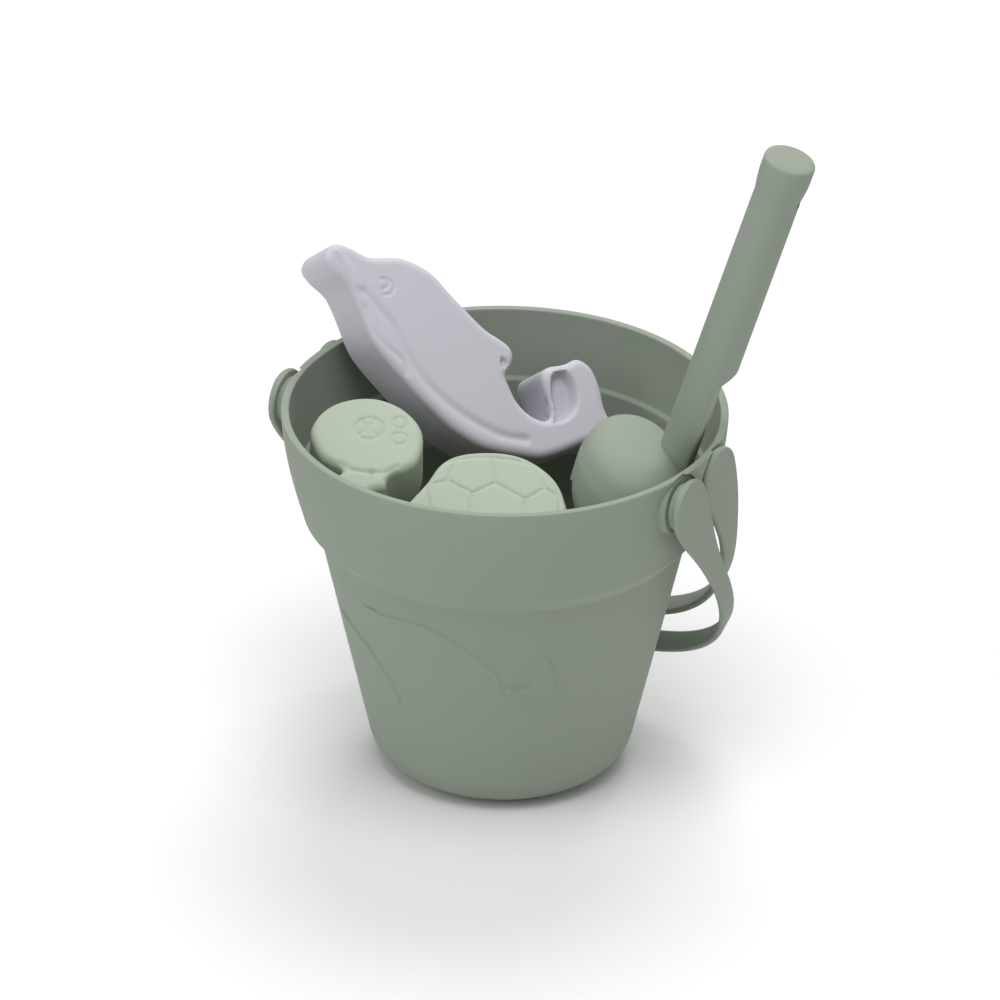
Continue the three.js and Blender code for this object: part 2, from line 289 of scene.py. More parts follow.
def rounded(corners, radius, steps=6):
    """A line through the corners, each rounded by a parabola that starts a radius before it."""
    points = np.asarray(corners, float)
    middle, before, after = points[1:-1], points[:-2], points[2:]
    reach_before = np.linalg.norm(before - middle, axis=1)
    reach_after = np.linalg.norm(after - middle, axis=1)
    longest = 0.45 * np.minimum(reach_before, reach_after)
    cut = np.minimum(np.broadcast_to(radius, reach_before.shape), longest)
    start = middle + (before - middle) * (cut / reach_before)[:, None]
    stop = middle + (after - middle) * (cut / reach_after)[:, None]
    share = np.linspace(0, 1, steps)[None, :, None]
    arc = (
        start[:, None] * (1 - share) ** 2
        + 2 * middle[:, None] * share * (1 - share)
        + stop[:, None] * share**2
    )
    return np.concatenate([points[:1], arc.reshape(-1, 2), points[-1:]])


def divided(line, longest):
    """The line with points added until no part is longer than the given length."""
    parts = np.diff(line, axis=0)
    counts = np.maximum(np.ceil(np.linalg.norm(parts, axis=1) / longest).astype(int), 1)
    first = np.repeat(np.arange(len(parts)), counts)
    place_in_part = np.arange(len(first)) - np.repeat(np.cumsum(counts) - counts, counts)
    share = (place_in_part / np.repeat(counts, counts))[:, None]
    return np.concatenate([line[first] + parts[first] * share, line[-1:]])


def evened(line, count):
    """The line again as a number of points at even distances along it."""
    travel = np.concatenate([[0], np.cumsum(np.linalg.norm(np.diff(line, axis=0), axis=1))])
    at = np.linspace(0, travel[-1], count)
    return np.stack([np.interp(at, travel, line[:, axis]) for axis in range(line.shape[1])], -1)


def flowing(corners, count, closed=False):
    """A smooth line through the corners.

    It is made of cubic pieces, and its slope at a corner is that between the corner's neighbours.
    """
    points = np.asarray(corners, float)
    if closed:
        before, after, later = np.roll(points, 1, 0), np.roll(points, -1, 0), np.roll(points, -2, 0)
        here = points
    else:
        padded = np.concatenate([points[:1], points, points[-1:]])
        before, here, after, later = padded[:-3], padded[1:-2], padded[2:-1], padded[3:]
    t = np.linspace(0, 1, 16, endpoint=False)[None, :, None]
    b, p, a, f = before[:, None], here[:, None], after[:, None], later[:, None]
    line = 0.5 * (
        2 * p + (a - b) * t + (2 * b - 5 * p + 4 * a - f) * t**2 + (3 * p - b - 3 * a + f) * t**3
    )
    line = line.reshape(-1, points.shape[1])
    if closed:
        return evened(np.concatenate([line, line[:1]]), count + 1)[:-1]
    return evened(np.concatenate([line, points[-1:]]), count)


def distance(points, line, closed=False):
    """Shortest distance from each point to a line of short straight parts."""
    starts = line if closed else line[:-1]
    ends = np.roll(line, -1, 0) if closed else line[1:]
    parts = ends - starts
    size = np.maximum((parts**2).sum(-1), 1e-18)
    offset = points[:, None] - starts[None]
    share = np.clip((offset * parts).sum(-1) / size, 0, 1)
    return np.sqrt(((offset - share[..., None] * parts) ** 2).sum(-1)).min(1)


def inside(points, outline):
    """True for each point inside a closed outline, by counting the edges crossed to one side."""
    x, y = points[:, :1], points[:, 1:]
    x0, y0 = outline.T
    x1, y1 = np.roll(outline, -1, 0).T
    spans = (y0 > y) != (y1 > y)
    crossing = x0 + (y - y0) * (x1 - x0) / np.where(y1 == y0, 1e-12, y1 - y0)
    return (spans & (x < crossing)).sum(1) % 2 == 1


def ease(value, low, high):
    """0 below low, 1 above high, and an S-curve between."""
    share = np.clip((value - low) / (high - low), 0, 1)
    return share * share * (3 - 2 * share)


def lathe(profile, angles=64):
    """Points and faces of a closed profile of (radius, height) turned round +Z."""
    turn = np.linspace(0, 2 * np.pi, angles, endpoint=False)
    radius, height = profile[:, :1], profile[:, 1:]
    points = np.stack(
        [radius * np.cos(turn), radius * np.sin(turn), height + 0 * turn], -1
    ).reshape(-1, 3)
    return points, grid_faces(len(profile), angles, around=True)


# ---- materials ----


class Link:
    """A node's output that can be used in arithmetic: each operator adds its Math node."""

    def __init__(self, shader, output):
        self.shader = shader
        self.output = output

    def maths(self, operation, first, second):
        return self.shader.add("ShaderNodeMath", {"operation": operation}, {0: first, 1: second})

    def __add__(self, other):
        return self.maths("ADD", self, other)

    def __sub__(self, other):
        return self.maths("SUBTRACT", self, other)

    def __rsub__(self, other):
        return self.maths("SUBTRACT", other, self)

    def __mul__(self, other):
        return self.maths("MULTIPLY", self, other)

    __radd__ = __add__
    __rmul__ = __mul__


class Shader:
    """A new node material with one way to add a node."""

    def __init__(self, name):
        self.material = bpy.data.materials.new(name)
        self.material.use_nodes = True
        self.tree = self.material.node_tree
        self.tree.nodes.clear()

    def add(self, kind, settings=None, sockets=None, output=0):
        """Adds a node: its settings first, then the values or links of its sockets."""
        node = self.tree.nodes.new(kind)
        for key, value in (settings or {}).items():
            if key == "stops":
                for element, (position, shade) in zip(node.color_ramp.elements, value):
                    element.position = position
                    element.color = (shade, shade, shade, 1)
            else:
                setattr(node, key, value)
        for key, value in (sockets or {}).items():
            if isinstance(value, Link):
                self.tree.links.new(value.output, node.inputs[key])
            else:
                node.inputs[key].default_value = value
        return Link(self, node.outputs[output])

    def finish(self, surface):
        """Joins the surface to the material's output."""
        output = self.tree.nodes.new("ShaderNodeOutputMaterial")
        self.tree.links.new(surface.output, output.inputs["Surface"])
        return self.material


def silicone(name, base, roughness=0.56, grain=1.0):
    """Matt moulded silicone.

    A soft mottle, fine dust in the grain, a painted highlight that makes convex edges paler, and an even
    sand-blasted bump.
    """
    shader = Shader(name)
    where = shader.add("ShaderNodeTexCoord", output="Object")
    mottle = shader.add(
        "ShaderNodeTexNoise", {}, {"Vector": where, "Scale": 26, "Detail": 3, "Roughness": 0.55}
    )
    speckle = shader.add(
        "ShaderNodeTexNoise", {}, {"Vector": where, "Scale": 950, "Detail": 2, "Roughness": 0.6}
    )
    peel = shader.add(
        "ShaderNodeTexNoise", {}, {"Vector": where, "Scale": 240, "Detail": 2, "Roughness": 0.5}
    )
    fine = shader.add(
        "ShaderNodeTexNoise", {}, {"Vector": where, "Scale": 2600, "Detail": 2, "Roughness": 0.6}
    )
    # Painted highlight: pointiness finds the convex edges, which are then painted paler as if lit.
    edges = shader.add("ShaderNodeNewGeometry", output="Pointiness")
    painted_edge_highlight = shader.add(
        "ShaderNodeMapRange",
        {"interpolation_type": "SMOOTHSTEP"},
        {"Value": edges, "From Min": 0.505, "From Max": 0.60, "To Min": 0.0, "To Max": 1.0},
    )
    dark = [channel * 0.90 for channel in base] + [1]
    pale = [min(channel * 1.10, 1) for channel in base] + [1]
    # Painted highlight colour for the convex edges.
    edge = [min(channel * 1.22 + 0.02, 1) for channel in base] + [1]
    spread = shader.add(
        "ShaderNodeMix",
        {"data_type": "RGBA"},
        {0: mottle * 0.8 + speckle * 0.2, 6: dark, 7: pale},
        output=2,
    )
    # Blends half way towards the painted highlight colour on convex edges.
    tone = shader.add(
        "ShaderNodeMix", {"data_type": "RGBA"}, {0: painted_edge_highlight * 0.5, 6: spread, 7: edge}, output=2
    )
    relief = fine * 0.55 + speckle * 0.3 + peel * 0.15
    bump = shader.add(
        "ShaderNodeBump", {}, {"Strength": 0.22 * grain, "Distance": 0.00025, "Height": relief}
    )
    surface = shader.add(
        "ShaderNodeBsdfPrincipled",
        {},
        {
            "Base Color": tone,
            "Roughness": (mottle - 0.5) * 0.14 + (speckle - 0.5) * 0.10 + roughness,
            "Normal": bump,
            "Specular IOR Level": 0.42,
            "Subsurface Weight": 0.06,
            "Subsurface Radius": (0.6, 0.6, 0.5),
            "Subsurface Scale": 0.003,
            "Sheen Weight": 0.08,
            "Sheen Roughness": 0.5,
        },
    )
    return shader.finish(surface)


def finish_of(name):
    """The silicone of that record slot, made once."""
    colours = bpy.context.scene.bucket_colours
    tones = {
        "sage_silicone": (colours.sage, 0.58),
        "pale_sage_silicone": (colours.pale_sage, 0.62),
        "lilac_silicone": (colours.lilac, 0.55),
        "ochre_silicone": (colours.ochre, 0.60),
    }
    if name not in bpy.data.materials:
        tone, roughness = tones[name]
        silicone(name, tone, roughness)
    return bpy.data.materials[name]


# ---- bucket ----


def band_radius(sizes, depth):
    """Outside radius of the upper band at a depth below the rim.

    It is the rim's radius less taper * (depth / band height)^1.6, so it is upright at the rim.
    """
    return sizes.rim_radius - sizes.band_taper * (depth / sizes.band_height) ** 1.6


def boss_face(sizes):
    """How far out the flat faces of the pivot bosses stand."""
    return band_radius(sizes, sizes.rim_height - FRONT_PIVOT.z) - sizes.boss_set_back


def wall_line(sizes, inward):
    """The wall's side line from the round corner up to the foot of the band, moved inwards."""
    body_top = sizes.rim_height - sizes.band_height - sizes.step_height
    top_radius = sizes.rim_radius - sizes.band_taper - sizes.step_depth
    slope = (top_radius - sizes.base_radius) / body_top
    lean = math.atan(slope)
    centre = sizes.base_radius + slope * sizes.base_corner - sizes.base_corner / math.cos(lean)
    turn = np.linspace(-np.pi / 2, -lean, 14)
    radius = sizes.base_corner - inward
    corner = np.stack([centre + radius * np.cos(turn), sizes.base_corner + radius * np.sin(turn)], -1)
    share = np.linspace(0, 1, 15)
    step = np.stack(
        [
            top_radius - inward + sizes.step_depth * ease(share, 0, 1),
            body_top + sizes.step_height * share,
        ],
        -1,
    )
    return corner, step


def bucket_profile(sizes):
    """Closed half section: the middle of the underside, round the rim, to the middle of the floor."""
    corner, step = wall_line(sizes, 0)
    depths = np.linspace(sizes.band_height, 0.0012, 14)[1:]
    band = np.stack([band_radius(sizes, depths), sizes.rim_height - depths], -1)
    rim = rounded(
        [
            band[-1],
            (sizes.rim_radius, sizes.rim_height),
            (sizes.rim_radius - sizes.wall, sizes.rim_height),
            (band_radius(sizes, 0.0016) - sizes.wall, sizes.rim_height - 0.0016),
        ],
        0.0012,
        7,
    )[1:-1]
    body = divided(np.stack([corner[-1], step[0]]), 0.0006)[1:-1]
    outer = np.concatenate([[[0, 0], [0.015, 0]], corner, body, step, band, rim])

    inner_corner, inner_step = wall_line(sizes, sizes.wall)
    inner_corner = inner_corner[inner_corner[:, 1] > sizes.floor + 0.0012]
    depths = np.linspace(0.002, sizes.ledge_drop - 0.0008, 8)
    upper = np.stack([band_radius(sizes, depths) - sizes.wall, sizes.rim_height - depths], -1)
    ledge_radius = band_radius(sizes, sizes.ledge_drop) - sizes.wall
    ledge_height = sizes.rim_height - sizes.ledge_drop
    ledge = rounded(
        [
            upper[-1],
            (ledge_radius, ledge_height),
            (ledge_radius - sizes.ledge_width, ledge_height - 0.0006),
            (ledge_radius - sizes.ledge_width - 0.0002, ledge_height - 0.004),
        ],
        0.0007,
        5,
    )[1:]
    foot = [band_radius(sizes, sizes.band_height) - sizes.wall, inner_step[-1][1] + 0.002]
    inner = np.concatenate(
        [
            upper,
            ledge,
            [foot],
            inner_step[::-1],
            inner_corner[::-1],
            [[inner_corner[0][0] - 0.0025, sizes.floor], [0.015, sizes.floor], [0, sizes.floor]],
        ]
    )
    return divided(outer, 0.006), divided(inner, 0.006)


WHALE_TAIL = [(-76, 71), (-60, 67.5), (-50, 58), (-43.5, 46), (-48, 41.5), (-60, 40), (-74, 46)]
WHALE_FIN = [(3.5, 61.5), (10.5, 61), (13, 69), (16, 75), (19, 67), (20.5, 58), (12, 56)]
WHALE_BACK = [(-46, 86), (-34, 88), (-25, 87), (-17, 83), (-9, 77), (-2, 69), (1, 61)]


def wall_picture(turn, height):
    """Height, 0 to 1, of the low picture on the wall: a leaping whale's back, its tail and a small fin.

    Each shape is a closed outline of (degrees round the wall, height) with a soft edge, and the back
    is a curved step that fades away below.
    """
    place_on_wall = np.stack([turn * 1.05, height / MM], -1)
    tail = flowing(WHALE_TAIL, 70, True)
    fin = flowing(WHALE_FIN, 60, True)
    back = flowing(WHALE_BACK, 60)
    tail_step = np.where(inside(place_on_wall, tail), 1, -1) * distance(place_on_wall, tail, True)
    fin_step = np.where(inside(place_on_wall, fin), 1, -1) * distance(place_on_wall, fin, True)
    from_back = distance(place_on_wall, back)
    below = height / MM < np.interp(place_on_wall[:, 0], back[:, 0], back[:, 1])
    fade = ease(-from_back, -14, -2) * below
    raised = ease(tail_step, -0.4, 0.6) + 0.9 * ease(fin_step, -0.4, 0.5)
    return raised + 0.7 * fade * ease(from_back, 0, 0.9)


def make_bucket(sizes):
    """The wall is its profile turned round +Z; the outside moves outwards by the low picture.

    At each pivot a round pocket is cut as far in as the boss face, then the boss is joined on, and its
    hidden end follows the middle of the wall, radius(depth) - wall / 2. A blind socket goes in last.
    """
    outer, inner = bucket_profile(sizes)
    profile = np.concatenate([outer, inner])
    front = -61
    dense = np.linspace(front - 76, front + 26, 170, endpoint=False)
    rest = np.linspace(front + 26, front + 284, 126, endpoint=False)
    turn = np.radians(np.concatenate([dense, rest]))
    radius = np.repeat(profile[:, :1], len(turn), 1)
    height = np.repeat(profile[:, 1:], len(turn), 1)
    outside = (np.arange(len(profile)) < len(outer))[:, None] & (height > 0.024) & (height < 0.092)
    away = (np.degrees(turn) - front + 180) % 360 - 180
    away = np.repeat(away[None], len(profile), 0)
    pictured = outside & (away > -78) & (away < 28)
    radius[pictured] += sizes.relief * wall_picture(away[pictured], height[pictured])
    x, y = radius * np.cos(turn), radius * np.sin(turn)
    face = boss_face(sizes)
    points = np.stack([x, y, height], -1)
    piece = sew(new_piece("bucket_wall", points, grid_faces(len(profile), len(turn), around=True)))
    straps = bpy.context.scene.bucket_handles
    pocket = bar_profile(straps.eye_radius + 0.001, face - 0.0002, face + 0.008)
    bar = bar_profile(sizes.boss_radius, face - 0.007, face)
    boss = np.concatenate([bar[:1], rounded(bar[1:], 0.0007)])
    bore = straps.shank_radius + straps.shank_clearance
    socket = bar_profile(bore, socket_end(sizes), face + 0.004)
    for pivot in (FRONT_PIVOT, BACK_PIVOT):
        for side in (-1, 1):
            combine(piece, along_x("pocket", pocket, side, pivot), "DIFFERENCE", "MANIFOLD")
    for pivot in (FRONT_PIVOT, BACK_PIVOT):
        for side in (-1, 1):
            pad = along_x("boss", boss, side, pivot)
            for point in pad.data.vertices:
                if abs(point.co.x) < face - 0.004:
                    middle = band_radius(sizes, sizes.rim_height - point.co.z) - sizes.wall / 2
                    point.co.x = side * math.sqrt(middle**2 - point.co.y**2)
            combine(piece, pad, "UNION", "MANIFOLD")
            combine(piece, along_x("socket", socket, side, pivot), "DIFFERENCE", "MANIFOLD")
    return soften(piece, 32)


def socket_end(sizes):
    """How far out the floors of the blind sockets are."""
    return boss_face(sizes) - sizes.wall * sizes.socket_share


def bar_profile(radius, start, stop):
    """Profile of a plain round bar between two places along its axis."""
    return np.array([(0, start), (radius, start), (radius, stop), (0, stop)])


def along_x(name, profile, side, pivot=(0, 0, 0), angles=48):
    """A turned piece whose axis runs along +X or -X through the pivot."""
    points, faces = lathe(profile, angles)
    points = np.stack([side * points[:, 2], side * points[:, 1], points[:, 0]], -1) + np.array(pivot)
    return sew(new_piece(name, points, faces))


# ---- handles ----


def strap_surface(sizes, middle, reach, straight, bow):
    """A rounded bar section carried along a U.

    The legs run straight, then the middle line is x = m * cos(a)^(2/2.2), y = s + (reach - s) * sin(a).
    It bows out by the square of its reach. Half the width is the eye's circle behind the pivot, and in
    front of it the grip's half width plus what is left of the eye, which dies away as exp(-(y/taper)^2).
    """
    tip = -sizes.eye_radius * np.cos(np.linspace(0, np.pi / 2, 22, endpoint=False))
    leg = np.linspace(0, straight, max(int(straight / 0.0013), 4), endpoint=False)
    rise = np.concatenate([tip, leg])
    bend = np.linspace(0, np.pi, 150)
    curve_x = middle * np.sign(np.cos(bend)) * np.abs(np.cos(bend)) ** (2 / 2.2)
    curve_y = straight + (reach - straight) * np.sin(bend)
    x = np.concatenate([np.full(len(rise), middle), curve_x, np.full(len(rise), -middle)])
    y = np.concatenate([rise, curve_y, rise[::-1]])
    slope = np.stack([np.gradient(x), np.gradient(y)], -1)
    slope /= np.linalg.norm(slope, axis=1, keepdims=True)
    outward = np.stack([slope[:, 1], -slope[:, 0]], -1)
    eye = np.sqrt(np.maximum(sizes.eye_radius**2 - np.minimum(y, 0) ** 2, 0))
    arm = sizes.grip_half + (sizes.eye_radius - sizes.grip_half) * np.exp(-((y / sizes.taper) ** 2))
    half = np.where(y < 0, eye, arm)[:, None]
    corner = np.minimum(sizes.edge, half * 0.95)
    quarter = np.linspace(0, np.pi / 2, 6)
    turn = np.concatenate([quarter + k * np.pi / 2 for k in range(4)])
    to_side = np.repeat([1, -1, -1, 1], 6)
    to_top = np.repeat([1, 1, -1, -1], 6)
    across = to_side * (sizes.thickness / 2 - corner) + corner * np.cos(turn)
    along = to_top * (half - corner) + corner * np.sin(turn)
    lift = (bow * (np.maximum(y, 0) / reach) ** 2)[:, None]
    points = np.stack(
        [
            x[:, None] + outward[:, :1] * across,
            y[:, None] + outward[:, 1:] * across,
            lift + along,
        ],
        -1,
    )
    return points, grid_faces(len(x), len(turn), around=True)


def make_handle(name, sizes, eye_inner, back_inner, reach, straight, bow, hang, pivot):
    """A strap with a stud behind each eye; the strap that stands further out has a round spacer too."""
    middle = eye_inner + sizes.thickness / 2
    points, faces = strap_surface(sizes, middle, reach, straight, bow)
    piece = sew(new_piece(name, points, faces))
    start = socket_end(bpy.context.scene.bucket_sizes) + sizes.gap
    foot = eye_inner + sizes.thickness * 0.5
    shank, spacer = sizes.shank_radius, sizes.spacer_radius
    stud = [(0, start), (shank, start)]
    if eye_inner > back_inner:
        stud += [(shank, back_inner), (spacer, back_inner), (spacer, foot), (0, foot)]
    else:
        stud += [(shank, foot), (0, foot)]
    for side in (-1, 1):
        combine(piece, along_x("stud", rounded(stud, 0.0003), side), "UNION")
    put(piece, pivot, Euler((-hang, 0, 0)))
    return soften(piece, 40)


# ---- spade ----


def scoop_profile(sizes):
    """Half the scoop's outline from its round top down to its tip, as (radius, height)."""
    half, tall = sizes.scoop_width / 2, sizes.scoop_length
    corners = [
        (0, 0.004),
        (half * 0.32, 0.0036),
        (half * 0.60, 0.0022),
        (half * 0.86, -0.0026),
        (half * 0.97, -0.009),
        (half, -0.018),
        (half * 0.88, -tall * 0.6),
        (half * 0.72, -tall * 0.9),
        (half * 0.45, -tall + 0.002),
        (0, -tall),
    ]
    return evened(flowing(corners, 240), 96)


def make_spade(sizes):
    """The scoop and the grip, joined, with the hanging hole.

    The scoop is an oval dome whose sides stop short below the top, so that it is an open trough. The
    grip is a round bar with one side cut back to a flat by a soft minimum.
    """
    squash = sizes.scoop_depth / sizes.scoop_width
    centre = sizes.neck_back - sizes.scoop_depth / 2 - 0.001
    outline = scoop_profile(sizes)
    radius, height = outline[:, :1], outline[:, 1:]
    opening = math.acos(-0.24)
    spread = np.pi - (np.pi - opening) * ease(-height, 0.020, 0.036)
    turn = np.linspace(-1, 1, 129)[None] * spread
    points = np.stack(
        [centre + squash * radius * np.cos(turn), radius * np.sin(turn), height + 0 * turn], -1
    )
    scoop = sew(new_piece("scoop", points, grid_faces(len(outline), 129)))
    face_outwards(scoop, Vector((centre, 0, -0.03)))
    thicken(scoop, sizes.scoop_wall)
    scoop.data.transform(Matrix.Rotation(sizes.scoop_turn, 4, "Z"))

    end = sizes.grip_radius + sizes.grip_flare
    tall = sizes.grip_length
    line = rounded(
        [
            (0, -0.012),
            (sizes.grip_radius, -0.012),
            (sizes.grip_radius, tall - 0.016),
            (end, tall - 0.009),
            (end, tall - 0.0006),
            (end - 0.0022, tall),
            (0, tall),
        ],
        [0.001, 0.001, 0.004, 0.004, 0.0016],
        7,
    )
    line = divided(line, 0.0011)
    points, faces = lathe(line, 72)
    x, y, z = points.T
    back = sizes.neck_back + (sizes.grip_radius + 0.002 - sizes.neck_back) * ease(
        z, sizes.neck_length - 0.004, sizes.neck_length + 0.008
    )
    soft = 0.0009
    mix = np.clip(0.5 + 0.5 * (back - x) / soft, 0, 1)
    x = back * (1 - mix) + x * mix - soft * mix * (1 - mix)
    reach = np.hypot((x - centre) / squash, y)
    skin = np.interp(reach, outline[:, 0][:40], outline[:, 1][:40]) - sizes.scoop_wall * 0.5
    z = np.maximum(z, np.where(reach < sizes.scoop_width / 2, skin, -0.012))
    points = np.stack([x, y, z], -1)
    piece = sew(new_piece("spade_moulding", points, faces))
    combine(piece, scoop, "UNION")
    hole = np.array([(0, -0.02), (sizes.hole_radius, -0.02), (sizes.hole_radius, 0.02), (0, 0.02)])
    combine(piece, along_x("hole", hole, 1, (0, 0, tall - sizes.hole_drop)), "DIFFERENCE")
    bucket = bpy.context.scene.bucket_sizes
    out = bucket.rim_radius - bucket.wall - sizes.inset
    location = Vector(
        (out * math.cos(sizes.side), out * math.sin(sizes.side), bucket.rim_height - sizes.drop)
    )
    put(piece, location, Euler((0, sizes.lean, sizes.side), "XYZ"))
    return soften(piece, 40)


def face_outwards(piece, middle):
    """Turns an open surface over if its faces look towards its middle."""
    facing = sum(
        face.area * face.normal.dot(face.center - middle) for face in piece.data.polygons
    )
    if facing < 0:
        piece.data.flip_normals()


# ---- moulds ----


def groove(points, corners, width, depth, closed=False):
    """A soft valley along a smooth line: -depth * exp(-(distance / width)^2)."""
    line = flowing(corners, 12 * len(corners), closed)
    return -depth * np.exp(-((distance(points, line, closed) / width) ** 2))


def ring(points, centre, radius, width, depth):
    """A soft round valley."""
    away = np.abs(np.hypot(*(points - np.array(centre)).T) - radius)
    return -depth * np.exp(-((away / width) ** 2))


def pool(points, corners, soft, depth):
    """A hollow, or with a negative depth a swelling, with a soft edge."""
    line = flowing(corners, 12 * len(corners), True)
    signed = np.where(inside(points, line), 1, -1) * distance(points, line, True)
    return -depth * ease(signed, -soft * 0.2, soft)


def dolphin_face(points):
    """Crown, belly roll, flipper, eye, beak ridge, back-fin pocket and the hollow between the flukes."""
    belly = [
        (-52, -5), (-45, -7.5), (-39, -9.5), (-34.5, -11.5), (-24.7, -18), (-12.8, -23.4),
        (3.3, -26), (19.8, -25), (30, -21),
    ]
    flipper = [
        (-49, -10.5), (-43.3, -15.6), (-37, -18.6), (-30.4, -19.8), (-25.7, -21.2), (-22.8, -24.4),
    ]
    hollow = [
        (27.5, 7), (31, 11), (36, 9.5), (40.5, 4.6), (42, -0.8), (40.5, -6), (37, -9), (33.6, -4.6),
        (29.5, 1.5),
    ]
    height = groove(points, belly, 1.5, 0.9)
    height += groove(points, flipper, 1.0, 0.7)
    height += groove(points, [(-71, 3), (-65.6, 1.2), (-60, -1.2), (-55.7, -5.2)], 1.2, -0.7)
    height += groove(points, [(-48.7, 2.6), (-46.6, 3.4), (-45, 1.4), (-46.4, -0.8)], 0.55, 0.55)
    height += groove(points, [(-44.4, 4.2), (-42.6, 2.2), (-42.9, -0.8), (-45, -2.4)], 0.55, 0.45)
    height += pool(points, hollow, 2.4, 5.0)
    height += pool(points, [(6.6, 1.9), (9.4, 1.9), (10.2, -0.4), (7.9, -1.2)], 1.0, 2.0)
    return height


def octopus_face(points):
    """A large round mark with two curved strokes, two small rings and a soft brow."""
    height = ring(points, (1.1, 3.6), 5.2, 0.6, 0.6)
    height += groove(points, [(-2.2, 7.2), (-0.4, 5), (-0.6, 2.6), (-2.4, 0.8)], 0.5, 0.5)
    height += groove(points, [(3.2, 7.6), (1.6, 5), (2.0, 2.4), (3.6, 0.4)], 0.5, 0.5)
    height += ring(points, (12.4, 6.4), 2.7, 0.55, 0.55)
    height += ring(points, (12.3, -1.4), 2.9, 0.55, 0.55)
    height += groove(points, [(-9.5, -14), (-5, -17), (2, -18)], 1.0, 0.8)
    height += groove(points, [(2, -18), (7, -18), (12, -15)], 1.0, 0.8)
    return height


def turtle_face(points):
    """A shell edge, a row of plates and the line where the flipper starts."""
    edge = [
        (-22, -12), (-20.6, -6.2), (-14.2, 0.9), (-1.9, 3.4), (13.1, 1.6), (21.3, -3),
        (26.2, -10.6), (27.5, -22), (21, -33), (8, -39.5), (-8, -39.5), (-18, -33),
    ]
    zigzag = [
        (-21, -10), (-14.3, -7.6), (-5, -13.5), (3.6, -8.6), (14.8, -16.1), (22, -11), (26.5, -14),
    ]
    height = groove(points, edge, 0.75, 0.75, True)
    for start, stop in zip(zigzag, zigzag[1:]):
        height = np.minimum(height, groove(points, [start, stop], 0.6, 0.6))
    spokes = [((-14.3, -7.6), (-11.2, 1.6)), ((3.6, -8.6), (2.2, 3)), ((22, -11), (18.7, -0.6))]
    lower = [
        ((-5, -13.5), (-6.5, -26)),
        ((14.8, -16.1), (14, -27)),
        ((-6.5, -26), (3.5, -31)),
        ((14, -27), (3.5, -31)),
        ((3.5, -31), (3, -39)),
    ]
    for start, stop in [*spokes, *lower]:
        height = np.minimum(height, groove(points, [start, stop], 0.6, 0.6))
    return height


def star_face(points):
    """A crease along each arm and a dimple in the middle."""
    height = ring(points, (0, 0), 0, 2.5, 1.0)
    for arm in range(5):
        turn = math.radians(90 + 72 * arm)
        ends = [(far * math.cos(turn), far * math.sin(turn)) for far in (3.5, 17)]
        height = np.minimum(height, groove(points, ends, 1.0, 0.8))
    return height


DOLPHIN = [
    (-72, 2), (-71, -2.4), (-66, -4.6), (-58, -6.4), (-49.5, -12.6), (-43.5, -17.6), (-37, -21.6),
    (-23.9, -26.2), (-6.3, -31), (4.3, -33), (15.4, -32.8), (23.2, -30.6), (31, -27.4), (38.2, -24),
    (44.2, -18), (49.5, -11), (53.4, -7), (58.6, -4), (64, -0.8), (66.4, 2), (62, 3.6), (56, 4.4),
    (51.6, 7.4), (47.6, 12), (44, 15.4), (40, 18), (36, 18.6), (33, 17.6), (30.8, 14.4), (28.4, 12),
    (25.6, 9.6), (24, 6.6), (25.2, 3), (30, -1.2), (33.8, -5.6), (34.4, -9.2), (31, -11),
    (26, -11.2), (20, -9.4), (14.8, -5.8), (11.6, -2.8), (11.9, 1), (11, 5), (8, 7.6), (3, 8.2),
    (-3.8, 8.4), (-14.4, 11), (-23, 13.4), (-31, 15.8), (-38, 16), (-46, 14.2), (-52, 10.4),
    (-57, 7.8), (-64.8, 7), (-70, 5.4),
]
OCTOPUS = [
    (-21, 1), (-19, 9), (-14.6, 14.6), (-9, 18), (-2, 19.6), (5, 19), (12, 15.6), (17.6, 10),
    (20.8, 3.4), (21, -4.6), (19, -12), (15, -15.6), (10.4, -17.4), (8, -20.4), (7.2, -24.6),
    (3, -26), (-3, -29.6), (-9, -27.4), (-13.6, -26), (-13.4, -21.4), (-9, -16.4), (-17, -10),
]
TURTLE = [
    (-17.5, 0), (-12, 4.4), (-4, 6.4), (6, 6.4), (14, 4.2), (21, -0.6), (26.4, -7), (29.4, -15),
    (30, -24), (22, -36), (8, -43), (-8, -43), (-20, -36), (-26, -27), (-30, -26), (-31, -21),
    (-27, -15), (-22, -8),
]


def star_outline(reach):
    """Ten points, alternately at the tips and in the notches."""
    turn = np.radians(90 + 36 * np.arange(10))
    far = np.where(np.arange(10) % 2 == 0, 1, 0.55) * reach / MM
    return np.stack([far * np.cos(turn), far * np.sin(turn)], -1)


EDGE_RINGS = (0.02, 0.08, 0.18, 0.32, 0.5, 0.72, 0.98)  # shares of the rounded edge with points
BORDER_SPACING = 0.9  # millimetres between the points round a mould's outline
SIDE_LEVELS = 7


